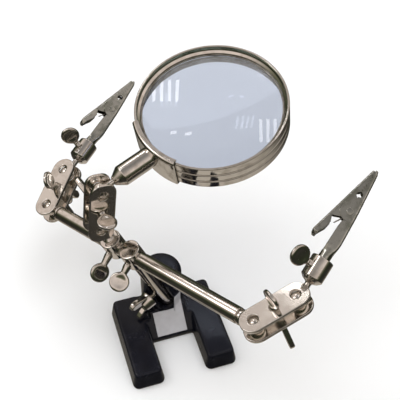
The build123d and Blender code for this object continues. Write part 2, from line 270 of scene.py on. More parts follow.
def capped(tube: Surface, sides: int, first, last) -> Surface:
    """A tube of rings closed at both ends by a fan to a point.

    Args:
        tube: a grid of rings, wrapped round.
        sides: points in each ring.
        first: the pole beyond the first ring.
        last: the pole beyond the last ring.

    Returns:
        The closed surface, facing outwards.
    """
    count, final = len(tube.verts), len(tube.verts) - sides
    i = np.arange(sides)
    j = (i + 1) % sides
    fans = [np.stack([j, i, np.full(sides, count)], axis=1),
            np.stack([final + i, final + j, np.full(sides, count + 1)], axis=1)]
    verts = np.vstack([tube.verts, [first, last]])
    return Surface(verts, tube.faces + list(fans[0]) + list(fans[1])).outward()


def offset(loop: np.ndarray, distance: float) -> np.ndarray:
    """A closed loop moved to its right by distance, along the mean normal of its two sides."""
    ahead, behind = np.roll(loop, -1, axis=0) - loop, loop - np.roll(loop, 1, axis=0)
    ahead /= np.linalg.norm(ahead, axis=1, keepdims=True)
    behind /= np.linalg.norm(behind, axis=1, keepdims=True)
    mean = ahead + behind
    mean /= np.linalg.norm(mean, axis=1, keepdims=True)
    normal = np.stack([mean[:, 1], -mean[:, 0]], axis=1)
    stretch = np.clip(np.einsum("ij,ij->i", mean, ahead), 0.5, 1)[:, None]
    return loop + normal * distance / stretch


def flat_fill(loops: list[np.ndarray]) -> np.ndarray:
    """Triangles between an outer loop and its holes.

    Args:
        loops: the outline first, then any holes.

    Returns:
        Corners of each triangle, counted through the loops laid end to end, anticlockwise.
    """
    starts = np.cumsum([0] + [len(l) for l in loops])
    every, edges = np.vstack(loops), []
    for start, loop in zip(starts, loops):
        i = np.arange(len(loop))
        edges += np.stack([start + i, start + (i + 1) % len(loop)], axis=1).tolist()
    flat = [Vector(p) for p in every.tolist()]
    placed, _, faces, origin, _, _ = delaunay_2d_cdt(flat, edges, [], 2, 1e-6)
    source = np.array([o[0] if o else np.argmin(np.linalg.norm(every - np.array(p), axis=1))
                       for o, p in zip(origin, placed)])
    made = source[np.array(faces, int)]
    owner = np.searchsorted(starts, made, side="right") - 1
    in_hole = (owner[:, 0] == owner[:, 1]) & (owner[:, 1] == owner[:, 2]) & (owner[:, 0] > 0)
    return made[~in_hole]


def slab(outline, holes, low: float, high: float, edge: float) -> Surface:
    """A flat plate with rounded rims, square to Z.

    Each rim follows a quarter circle from the flat face to the wall: the loop steps in by
    edge * (1 - sin) while the height steps by edge * (1 - cos). One more loop inside the rim
    keeps the flat face flat in the shading.

    Args:
        outline: anticlockwise points of the outside.
        holes: anticlockwise loops of the holes.
        low: height of the lower face.
        high: height of the upper face.
        edge: radius of the rims.

    Returns:
        The closed surface, facing outwards.
    """
    t = np.linspace(0, pi / 2, RIM_STEPS + 1)
    flat, rim = [edge * 1.25], edge * (1 - np.sin(t))
    inset = np.concatenate([flat, rim, rim[::-1], flat])
    rise = edge * (1 - np.cos(t))
    height = np.concatenate([[high], high - rise, (low + rise)[::-1], [low]])
    made, caps = [], []
    for k, loop in enumerate([np.asarray(outline, float), *holes]):
        side = -1 if k == 0 else 1
        loops = np.stack([offset(loop, side * d) for d in inset])
        z = np.broadcast_to(height[:, None, None], (*loops.shape[:2], 1))
        made.append(grid(np.concatenate([loops, z], axis=-1), wrap_v=True))
        caps.append(loops[0])
        if k > 0:
            made[-1].faces = [f[::-1] for f in made[-1].faces]
    starts = np.cumsum([0] + [len(m.verts) for m in made])[:-1]
    out = made[0]
    for m in made[1:]:
        out = out + m
    triangles = flat_fill(caps)
    counts = [len(c) for c in caps]
    top = np.concatenate([s + np.arange(c) for s, c in zip(starts, counts)])
    last = len(inset) - 1
    bottom = np.concatenate([s + last * c + np.arange(c) for s, c in zip(starts, counts)])
    return Surface(out.verts, list(out.faces) + list(top[triangles]) + list(bottom[triangles][:, ::-1]))


def shell(points: np.ndarray, thickness: float) -> Surface:
    """A bent sheet: a grid given thickness along its own normals, with rounded edges.

    The normal is the cross product of the grid's two gradients. The rim between the two skins
    has a middle row pushed out of the sheet by RIM_BULGE * thickness.

    Args:
        points: grid of (rows, columns, 3) on the sheet's middle.
        thickness: of the sheet.

    Returns:
        The closed surface, facing outwards.
    """
    du, dv = np.gradient(points, axis=0), np.gradient(points, axis=1)
    normal = unit_rows(np.cross(du, dv))
    top, bottom = points + normal * thickness / 2, points - normal * thickness / 2
    rows, cols = points.shape[:2]
    index = np.arange(rows * cols).reshape(rows, cols)
    around = np.concatenate([index[0, :-1], index[:-1, -1], index[-1, :0:-1], index[:0:-1, 0]])
    out_u, out_v = unit_rows(du), unit_rows(dv)
    push = np.zeros_like(points)
    push[0] -= out_u[0]
    push[-1] += out_u[-1]
    push[:, 0] -= out_v[:, 0]
    push[:, -1] += out_v[:, -1]
    push = unit_rows(push.reshape(-1, 3)[around])
    middle = points.reshape(-1, 3)[around] + push * thickness * RIM_BULGE
    n, rim = rows * cols, len(around)
    i = np.arange(rim)
    j = (i + 1) % rim
    mid, mid_next = 2 * n + i, 2 * n + j
    upper = np.stack([around, around[j], mid_next, mid], axis=1)
    lower = np.stack([mid, mid_next, n + around[j], n + around], axis=1)
    skin = np.array(grid(points).faces)
    faces = list(skin[:, ::-1]) + list(skin + n) + list(upper) + list(lower)
    verts = np.vstack([top.reshape(-1, 3), bottom.reshape(-1, 3), middle])
    return Surface(verts, faces).outward()


def unit_rows(v: np.ndarray) -> np.ndarray:
    """Each vector of the last axis at length 1."""
    return v / np.maximum(np.linalg.norm(v, axis=-1, keepdims=True), 1e-9)


def wire(path: np.ndarray, radius: float, sides: int = 12) -> Surface:
    """A round wire along a path, with its ends closed.

    Each ring is square to the path's own direction. Its two axes come from a fixed vector that
    the path never follows, by cross products.

    Args:
        path: points along the middle, at least three.
        radius: of the wire.
        sides: points in each ring.

    Returns:
        The closed surface, facing outwards.
    """
    tangent = unit_rows(np.gradient(path, axis=0))
    fixed = np.eye(3)[np.argmin(np.abs(tangent).max(axis=0))]
    a = unit_rows(np.cross(tangent, fixed))
    b = np.cross(tangent, a)
    t = circle(sides)
    around = np.cos(t)[None, :, None] * a[:, None] + np.sin(t)[None, :, None] * b[:, None]
    return capped(grid(path[:, None] + radius * around, wrap_v=True), sides, path[0], path[-1])


def thread(radius: float, low: float, high: float, pitch: float = 0.7, depth: float = 0.3,
           segments: int = 32) -> Surface:
    """A screw shank with a real thread.

    The radius falls from its full value by depth times a triangle wave of (height / pitch +
    turn), and the wave fades out over the last pitch at each end.

    Args:
        radius: over the thread's crests.
        low: lower end.
        high: upper end.
        pitch: rise for each turn.
        depth: of the groove.
        segments: steps round the shank.

    Returns:
        The closed surface, facing outwards.
    """
    rows = max(int((high - low) / pitch * 8), 16)
    z = np.linspace(low, high, rows)[:, None]
    t = circle(segments)[None, :]
    phase = (z / pitch - t / (2 * pi)) % 1.0
    wave = np.abs(2 * phase - 1)
    fade = np.clip(np.minimum(z - low, high - z) / pitch, 0, 1)
    r = radius - depth * wave * fade - 0.12 * (1 - fade)
    return capped(grid(space(r * np.cos(t), r * np.sin(t), z), wrap_v=True), segments,
                  (0, 0, low), (0, 0, high))


# ------------------------------------------------------------------ finishes


def shader_group(name: str, inputs: dict[str, float], outputs: dict[str, str]) -> bpy.types.NodeTree:
    """An empty shader node group with named sockets.

    Args:
        name: of the group.
        inputs: each number input and its default.
        outputs: each output and its socket type.

    Returns:
        The group, with its input and output nodes.
    """
    group = bpy.data.node_groups.new(name, "ShaderNodeTree")
    for label, value in inputs.items():
        made = group.interface.new_socket(name=label, in_out="INPUT", socket_type="NodeSocketFloat")
        made.default_value = value
    for label, kind in outputs.items():
        group.interface.new_socket(name=label, in_out="OUTPUT", socket_type=kind)
    group.nodes.new("NodeGroupInput")
    group.nodes.new("NodeGroupOutput")
    return group


def node(tree: bpy.types.NodeTree, kind: str, **values) -> bpy.types.Node:
    """A new node with its properties or input values set.

    Args:
        tree: where it goes.
        kind: the node's type.
        values: a property, or an input by its name with underscores for spaces.

    Returns:
        The node.
    """
    made = tree.nodes.new(kind)
    for key, value in values.items():
        if hasattr(made, key):
            setattr(made, key, value)
        else:
            made.inputs[key.replace("_", " ")].default_value = value
    return made


def join(tree: bpy.types.NodeTree, *wires: tuple) -> None:
    """Links each (from node, its output, to node, its input)."""
    for source, output, target, into in wires:
        tree.links.new(source.outputs[output], target.inputs[into])


def two_tone(tree: bpy.types.NodeTree, first: tuple, second: tuple) -> bpy.types.Node:
    """A colour mix between two tones. Its factor is input 0 and its colour is output 2."""
    made = node(tree, "ShaderNodeMix", data_type="RGBA")
    made.inputs[6].default_value = (*first, 1)
    made.inputs[7].default_value = (*second, 1)
    return made


def principled(name: str, **values) -> tuple:
    """A material with a Principled shader.

    Args:
        name: of the material.
        values: inputs of the shader that are the same all over.

    Returns:
        The node tree and its shader.
    """
    made = bpy.data.materials.new(name)
    made.use_nodes = True
    tree = made.node_tree
    tree.nodes.clear()
    surface = node(tree, "ShaderNodeBsdfPrincipled", **values)
    join(tree, (surface, "BSDF", node(tree, "ShaderNodeOutputMaterial"), "Surface"))
    return tree, surface


def handling_group() -> bpy.types.NodeTree:
    """Finger marks and fine scratches for bright metal.

    A broad noise gives a cloudy mask, and a noise stretched along one axis gives hairlines. The
    roughness is the clean value plus the mask times the smudge amount, and the height is the
    hairlines plus a little of the cloud.
    """
    group = shader_group("handling", {"Clean": 0.1, "Smudge": 0.2, "Scale": 120.0},
                         {"Roughness": "NodeSocketFloat", "Height": "NodeSocketFloat",
                          "Mask": "NodeSocketFloat"})
    source, sink = group.nodes["Group Input"], group.nodes["Group Output"]
    place = node(group, "ShaderNodeTexCoord")
    cloud = node(group, "ShaderNodeTexNoise", Detail=4.0, Roughness=0.6)
    mask = node(group, "ShaderNodeMapRange", interpolation_type="SMOOTHSTEP", From_Min=0.42, From_Max=0.68)
    stretch = node(group, "ShaderNodeMapping", Scale=(1.0, 6.0, 14.0), Rotation=(0.4, 0.7, 0.3))
    hair = node(group, "ShaderNodeTexNoise", Scale=900.0, Detail=2.0)
    amount = node(group, "ShaderNodeMath", operation="MULTIPLY")
    rough = node(group, "ShaderNodeMath", operation="ADD")
    fine = node(group, "ShaderNodeMath", operation="MULTIPLY_ADD")
    fine.inputs[1].default_value = 0.35
    join(group, (place, "Object", cloud, "Vector"), (source, "Scale", cloud, "Scale"),
         (cloud, "Fac", mask, "Value"), (place, "Object", stretch, "Vector"),
         (stretch, "Vector", hair, "Vector"), (mask, "Result", amount, 0), (source, "Smudge", amount, 1),
         (amount, 0, rough, 0), (source, "Clean", rough, 1), (hair, "Fac", fine, 0),
         (cloud, "Fac", fine, 2), (rough, 0, sink, "Roughness"), (fine, 0, sink, "Height"),
         (mask, "Result", sink, "Mask"))
    return group


@dataclass(frozen=True)
class Metal:
    """A plated or bare metal.

    Args:
        name: of the material.
        clean: colour where it is bright.
        dull: colour where it is handled or tarnished.
        roughness: where it is clean.
        smudge: roughness added where it is handled.
        bump: strength of the hairlines.
        scale: of the clouds, for each metre.
    """

    name: str
    clean: tuple[float, float, float]
    dull: tuple[float, float, float]
    roughness: float
    smudge: float
    bump: float
    scale: float = 130.0

    def build(self, handling: bpy.types.NodeTree) -> None:
        """Makes the material, with its colour and gloss varied by the handling group."""
        tree, surface = principled(self.name, Metallic=1.0)
        marks = node(tree, "ShaderNodeGroup", node_tree=handling)
        marks.inputs["Clean"].default_value = self.roughness
        marks.inputs["Smudge"].default_value = self.smudge
        marks.inputs["Scale"].default_value = self.scale
        tint = two_tone(tree, self.clean, self.dull)
        bump = node(tree, "ShaderNodeBump", Strength=self.bump, Distance=0.00004)
        join(tree, (marks, "Mask", tint, 0), (tint, 2, surface, "Base Color"),
             (marks, "Roughness", surface, "Roughness"), (marks, "Height", bump, "Height"),
             (bump, "Normal", surface, "Normal"))


@dataclass(frozen=True)
class CastPaint:
    """Thick gloss paint over a sand casting."""

    name: str = "black_gloss_paint"
    dark: tuple[float, float, float] = (0.0025, 0.003, 0.006)
    light: tuple[float, float, float] = (0.010, 0.011, 0.018)
    grain: float = 900.0

    def build(self) -> None:
        """Makes the material: two noises for the casting's skin and the paint's orange peel."""
        tree, surface = principled(self.name, Specular_IOR_Level=0.32)
        place = node(tree, "ShaderNodeTexCoord")
        peel = node(tree, "ShaderNodeTexNoise", Scale=self.grain, Detail=3.0, Roughness=0.55)
        pits = node(tree, "ShaderNodeTexNoise", Scale=self.grain / 5, Detail=2.0)
        both = node(tree, "ShaderNodeMath", operation="MULTIPLY_ADD")
        both.inputs[1].default_value = 0.4
        tint = two_tone(tree, self.dark, self.light)
        gloss = node(tree, "ShaderNodeMapRange", To_Min=0.12, To_Max=0.34)
        bump = node(tree, "ShaderNodeBump", Strength=0.35, Distance=0.0002)
        join(tree, (place, "Object", peel, "Vector"), (place, "Object", pits, "Vector"),
             (peel, "Fac", both, 0), (pits, "Fac", both, 2), (pits, "Fac", tint, 0),
             (pits, "Fac", gloss, "Value"), (both, 0, bump, "Height"), (tint, 2, surface, "Base Color"),
             (gloss, "Result", surface, "Roughness"), (bump, "Normal", surface, "Normal"))


@dataclass(frozen=True)
class LensGlass:
    """Clear lens glass with a faint cold tint."""

    name: str = "clear_glass"
    tint: tuple[float, float, float] = (0.50, 0.54, 0.63)

    def build(self) -> None:
        """Makes the material: smooth glass whose surface waves by a hair, as a pressed lens does."""
        tree, surface = principled(self.name, Base_Color=(*self.tint, 1), Roughness=0.0, IOR=1.5,
                                   Transmission_Weight=1.0)
        place = node(tree, "ShaderNodeTexCoord")
        wave = node(tree, "ShaderNodeTexNoise", Scale=25.0, Detail=1.0)
        bump = node(tree, "ShaderNodeBump", Strength=0.08, Distance=0.0004)
        join(tree, (place, "Object", wave, "Vector"), (wave, "Fac", bump, "Height"),
             (bump, "Normal", surface, "Normal"))


@dataclass(frozen=True)
class LabelPaper:
    """Coated white label, a little grubby."""

    name: str = "label_paper"
    clean: tuple[float, float, float] = (0.62, 0.63, 0.67)
    grubby: tuple[float, float, float] = (0.46, 0.46, 0.49)

    def build(self) -> None:
        """Makes the material: a cloudy mix of two greys under a satin coat."""
        tree, surface = principled(self.name, Roughness=0.32)
        place = node(tree, "ShaderNodeTexCoord")
        cloud = node(tree, "ShaderNodeTexNoise", Scale=260.0, Detail=4.0)
        tint = two_tone(tree, self.clean, self.grubby)
        bump = node(tree, "ShaderNodeBump", Strength=0.15, Distance=0.0001)
        join(tree, (place, "Object", cloud, "Vector"), (cloud, "Fac", tint, 0),
             (tint, 2, surface, "Base Color"), (cloud, "Fac", bump, "Height"),
             (bump, "Normal", surface, "Normal"))


class Finish(Enum):
    """The finishes of the stand: the look, and the record's slot."""

    NICKEL = ("bright_nickel", "nickel")
    SATIN = ("satin_nickel", "nickel")
    PAINT = ("black_gloss_paint", "black_paint")
    GLASS = ("clear_glass", "lens_glass")
    LABEL = ("label_paper", "paper_label")
    SPRING = ("sprung_wire", "spring_steel")
    # Dark olive over the hoop's inner wall: painted reflection of dark surroundings, not the metal's own
    # colour.
    PAINTED_REFLECTION = ("hoop_wall_painted_reflection", "nickel")

    @property
    def material(self) -> bpy.types.Material:
        """The built material."""
        return bpy.data.materials[self.value[0]]

    @property
    def slot(self) -> str:
        """The record's slot."""
        return self.value[1]


def build_finishes() -> None:
    """Builds each material once."""
    handling = handling_group()
    Metal("bright_nickel", (0.84, 0.80, 0.755), (0.66, 0.615, 0.56), 0.06, 0.12, 0.06).build(handling)
    Metal("satin_nickel", (0.56, 0.56, 0.52), (0.34, 0.35, 0.30), 0.13, 0.16, 0.18, 220.0).build(handling)
    Metal("sprung_wire", (0.50, 0.48, 0.45), (0.30, 0.27, 0.23), 0.28, 0.20, 0.20, 300.0).build(handling)
    # Dark olive nickel for the band over the hoop's inner wall: painted reflection of the dark surroundings.
    Metal("hoop_wall_painted_reflection", (0.30, 0.34, 0.25), (0.15, 0.18, 0.12), 0.16, 0.14, 0.15, 90.0).build(handling)
    CastPaint().build()
    LensGlass().build()
    LabelPaper().build()


# ------------------------------------------------------------------ pieces


def piece(name: str, surface: Surface, seat: Seat | None, finish: Finish, body: str,
          *nodes: str, sharp: float = 40.0) -> bpy.types.Object:
    """Puts a finished surface in the scene.

    Args:
        name: of the piece.
        surface: in local millimetres.
        seat: where it goes, or None if it is already in the object's frame.
        finish: its look.
        body: the CAD body it rides on.
        nodes: the CAD nodes it stands for.
        sharp: edges over this angle shade sharp, in degrees.

    Returns:
        The object, at the origin.
    """
    verts = seat.put(surface.verts) if seat else surface.verts * MM
    mesh = bpy.data.meshes.new(name)
    mesh.from_pydata(verts.tolist(), [], [np.asarray(f).tolist() for f in surface.faces])
    mesh.validate()
    work = bmesh.new()
    work.from_mesh(mesh)
    bmesh.ops.recalc_face_normals(work, faces=work.faces)
    work.to_mesh(mesh)
    work.free()
    mesh.polygons.foreach_set("use_smooth", np.ones(len(mesh.polygons), bool))
    mesh.set_sharp_from_angle(angle=radians(sharp))
    mesh.materials.append(finish.material)
    made = bpy.data.objects.new(name, mesh)
    bpy.context.scene.collection.objects.link(made)
    even = made.modifiers.new("even_shading", "WEIGHTED_NORMAL")
    even.keep_sharp = True
    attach(made, body)
    if nodes:
        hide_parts(*nodes)
    LOG.info("%s: %d faces on %s for %s", name, len(mesh.polygons), body, ", ".join(nodes) or "-")
    return made


def dress(finish: Finish, *nodes: str) -> None:
    """Gives CAD nodes whose shape is right their finish."""
    for name in nodes:
        mesh = frame["nodes"][name].data
        mesh.materials.clear()
        mesh.materials.append(finish.material)
        LOG.info("%s: CAD shape, %s", name, finish.value[0])


def drilled(surface: Surface, *cutters: Surface) -> Surface:
    """A surface with closed cutters taken out of it by an exact boolean."""
    objects = []
    for k, part in enumerate((surface, *cutters)):
        mesh = bpy.data.meshes.new(f"drill_{k}")
        mesh.from_pydata(part.verts.tolist(), [], [np.asarray(f).tolist() for f in part.faces])
        made = bpy.data.objects.new(f"drill_{k}", mesh)
        bpy.context.scene.collection.objects.link(made)
        objects.append(made)
    for tool in objects[1:]:
        cut = objects[0].modifiers.new("cut", "BOOLEAN")
        cut.object = tool
        cut.operation = "DIFFERENCE"
        cut.solver = "EXACT"
    result = objects[0].evaluated_get(bpy.context.evaluated_depsgraph_get()).to_mesh()
    verts = np.zeros(len(result.vertices) * 3)
    result.vertices.foreach_get("co", verts)
    faces = [list(p.vertices) for p in result.polygons]
    out = Surface(verts.reshape(-1, 3), faces)
    objects[0].evaluated_get(bpy.context.evaluated_depsgraph_get()).to_mesh_clear()
    for made in objects:
        bpy.data.objects.remove(made)
    return out


def smooth_step(x: np.ndarray, low: float, high: float) -> np.ndarray:
    """0 below low, 1 above high, and a smooth cubic between."""
    t = np.clip((np.asarray(x, float) - low) / (high - low), 0, 1)
    return t * t * (3 - 2 * t)


# ------------------------------------------------------------------ fasteners


@dataclass(frozen=True)
class SpadeScrew:
    """A thumb screw with a flattened, slightly dished round grip.

    Args:
        shank: radius of the thread.
        tip: lower end of the thread.
        seat: height of the shoulder, where the smooth stem starts.
        middle: height of the grip's middle.
        width: across the grip.
        thick: of the grip.
    """

    shank: float = 1.95
    tip: float = -10.4
    seat: float = 4.4
    middle: float = 9.2
    width: float = 8.8
    thick: float = 1.9

    def outline(self, z: np.ndarray) -> tuple[np.ndarray, np.ndarray, np.ndarray]:
        """Half width, half thickness and superellipse power at each height.

        The width is the grip's circle, sqrt(r^2 - (z - middle)^2), or the stem where that is
        wider, joined by a soft maximum. The thickness goes from the stem's to the grip's.
        """
        r = self.width / 2
        disc = np.sqrt(np.clip(r ** 2 - (z - self.middle) ** 2, 0, None))
        below = z < self.middle
        t = np.clip((z - self.seat) / max(self.middle - r - self.seat, 0.5), 0, 1)
        stem = self.shank * (0.98 - 0.22 * t)
        soft = (np.maximum(disc, 0) ** 6 + stem ** 6) ** (1 / 6)
        a = np.where(below, soft, disc)
        swell = smooth_step(z, self.middle - 1.15 * r, self.middle - 0.15 * r)
        crown = np.sqrt(np.clip(1 - (np.clip(z - self.middle, 0, r) / r) ** 6, 0, 1))
        b = (stem * (1 - swell) + self.thick / 2 * swell) * np.where(below, 1, np.clip(crown, 0.05, 1))
        return a, b, 2 + 2.0 * swell

    def surface(self) -> Surface:
        """The thread and the head in one. The grip's two faces are pressed in by a round dish."""
        top = self.middle + self.width / 2
        count = 64
        fine = np.linspace(0, 1, 90)
        z = self.seat + (top - self.seat) * np.sin(fine * pi / 2)
        a, b, power = self.outline(z)
        a[0], b[0] = a[0] - 0.25, b[0] - 0.25
        t = circle(count)[None, :]
        c, s = np.cos(t), np.sin(t)
        k = 2 / power[:, None]
        x = a[:, None] * np.sign(c) * np.abs(c) ** k
        y = b[:, None] * np.sign(s) * np.abs(s) ** k
        reach = self.width * 0.30
        y = y * (1 - 0.28 * np.exp(-((x / reach) ** 2 + ((z[:, None] - self.middle) / reach) ** 2) ** 2))
        head = capped(grid(space(x, y, z[:, None]), wrap_v=True), count, (0, 0, self.seat), (0, 0, z[-1]))
        return thread(self.shank, self.tip, self.seat + 0.05) + head


@dataclass(frozen=True)
class Wings:
    """Two cast wings on a conical hub, as a nut or a screw.

    Args:
        seat: height of the hub's foot.
        height: from the foot to the wing tips.
        bore: radius of the nut's hole, or zero for a screw.
        tip: lower end of a screw's thread.
    """

    seat: float
    height: float = 12.6
    bore: float = 2.0
    tip: float = 0.0
    hub: float = 3.8
    hub_height: float = 4.6
    reach: float = 8.1
    thick: float = 2.3

    def surface(self) -> Surface:
        """The hub, turned, and the wings, each a rounded slab stood on edge."""
        foot, top, h = self.seat, self.seat + self.hub_height, self.height
        inner = self.bore if self.bore > 0 else 0.0
        corner = [(inner, foot), (self.hub, foot), (self.hub - 0.2, foot + 1.2), (self.hub - 1.0, top),
                  (inner, top)]
        profile = rounded(corner, [0, 0.4, 0.6, 0.7, 0], closed=inner > 0)
        out = lathe(profile, 64)
        if self.bore == 0:
            out = out + thread(1.5, self.tip, foot + 0.1)
        outline = [(1.9, 0.7), (4.3, 1.5), (self.reach - 0.7, h - 4.6), (self.reach, h - 2.2),
                   (self.reach - 0.9, h), (self.reach - 3.2, h - 0.4), (self.reach - 4.4, h - 2.6),
                   (2.9, self.hub_height + 0.4), (1.9, self.hub_height - 0.9)]
        radii = [0.4, 1.2, 3.0, 1.6, 1.2, 1.4, 2.0, 1.5, 0.4]
        wing = slab(rounded(outline, radii), (), -self.thick / 2, self.thick / 2, 0.55)
        stood = wing.mapped([(1, 0, 0), (0, 0, 1), (0, -1, 0)]).moved(z=foot)
        other = stood.mapped([(-1, 0, 0), (0, -1, 0), (0, 0, 1)])
        return out + stood + other


# ------------------------------------------------------------------ base


@dataclass
class Base:
    """The forked casting with its label and wing screw."""

    ramp_front: float = -18.3
    ramp_edge: float = 2.5
    ramp_top: float = 11.8
    tower: float = 9.6
    label_width: float = 14.2
    label_top: float = 19.5
    label_thick: float = 0.25
    screw_seat: float = 6.1
    screw_side: tuple = (0.27, 0.19, -0.94)

    def casting(self) -> None:
        """The casting: a copy of its solid, remade in small even faces and softened.

        The remesh takes the hard edges off and the smoothing rounds them as thick paint does.
        Points above 22 mm high are then lifted, by a smooth cubic that reaches 1.2 mm at 31 mm,
        and no point goes below zero.
        """
        source = frame["nodes"]["base_casting"]
        mesh = source.data.copy()
        copy = bpy.data.objects.new("base_skin", mesh)
        bpy.context.scene.collection.objects.link(copy)
        weld = copy.modifiers.new("weld", "WELD")
        weld.merge_threshold = 0.00001
        remesh = copy.modifiers.new("even", "REMESH")
        remesh.mode = "VOXEL"
        remesh.voxel_size = 0.38 * MM
        soften = copy.modifiers.new("soften", "SMOOTH")
        soften.factor = 0.5
        soften.iterations = 9
        graph = bpy.context.evaluated_depsgraph_get()
        skin = bpy.data.meshes.new_from_object(copy.evaluated_get(graph))
        verts = np.zeros(len(skin.vertices) * 3)
        skin.vertices.foreach_get("co", verts)
        verts = verts.reshape(-1, 3) / MM
        verts[:, 2] = np.maximum(verts[:, 2] + 1.2 * smooth_step(verts[:, 2], 22, 31), 0.0)
        faces = [list(p.vertices) for p in skin.polygons]
        bpy.data.objects.remove(copy)
        piece("base_casting_skin", Surface(verts, faces), None, Finish.PAINT, "base", "base_casting",
              sharp=75.0)

    def label(self) -> None:
        """The blank label: up the ramp, and higher on the right, where it is stuck on the tower.

        Its top edge steps up by a smooth cubic of x. Its depth is the nearer of the ramp's line,
        y = front + (z - edge), and the tower's round front, -sqrt(tower^2 - x^2).
        """
        x = np.linspace(-self.label_width / 2, self.label_width / 2, 90)[None, :]
        high = self.ramp_top - 0.4 + (self.label_top - self.ramp_top) * smooth_step(x, 3.2, 3.7)
        v = np.linspace(0, 1, 70)[:, None]
        low = self.ramp_edge + 0.8
        z = low + (high - low) * v
        lift = self.label_thick / 2 + 0.08
        ramp = self.ramp_front + (z - self.ramp_edge) - lift * 1.42
        front = -np.sqrt((self.tower + lift) ** 2 - x ** 2)
        y = -np.logaddexp(-ramp * 6, -front * 6) / 6
        piece("label_sheet", shell(space(x, y, z), self.label_thick), None, Finish.LABEL, "base",
              "base_label")

    def screw(self) -> None:
        """The wing screw in the tower's side."""
        point, axis = joint("base_screw_turn")
        seat = Seat.of(point, axis, self.screw_side)
        shape = Wings(self.screw_seat, height=10.6, bore=0.0, tip=3.6, hub=4.2, hub_height=5.4, thick=2.6)
        piece("wing_screw", shape.surface(), seat, Finish.NICKEL, "base_wing_screw", "base_wing_screw")

    def build(self) -> None:
        """All of the base."""
        self.casting()
        self.label()
        self.screw()


# ------------------------------------------------------------------ post and bar


